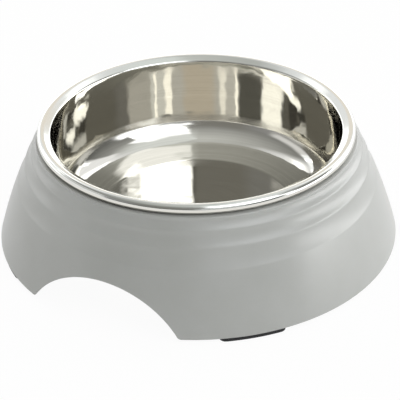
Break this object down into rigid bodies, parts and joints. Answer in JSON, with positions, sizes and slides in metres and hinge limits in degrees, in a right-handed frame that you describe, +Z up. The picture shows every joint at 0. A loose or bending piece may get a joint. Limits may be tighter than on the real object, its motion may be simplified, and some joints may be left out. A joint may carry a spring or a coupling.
{
  "type": "pet bowl with stand",
  "caption": "Round pet bowl: a polished steel dish with a rolled rim that lifts out of a fluted conical stand with arched finger grips and rubber feet.",
  "frame": {"origin": "on the floor, under the middle of the bowl", "axes": "+Z up through the middle of the bowl, -Y out through the front finger grip, +X to the right"},
  "size_m": [0.2194, 0.205, 0.0665],
  "materials": {
    "melamine": "satin moulded",
    "stainless_steel": "polished",
    "foot_rubber": "matte moulded"
  },
  "bodies": {
    "stand": {"stand_shell": "melamine", "foot_front_left": "foot_rubber", "foot_front_right": "foot_rubber", "foot_rear_left": "foot_rubber", "foot_rear_right": "foot_rubber"},
    "bowl": {"steel_bowl": "stainless_steel"}
  },
  "joints": [
    {"name": "bowl_lift", "type": "slide", "parent": "stand", "child": "bowl", "axis": [0, 0, 1], "range_m": [0, 0.06]}
  ]
}
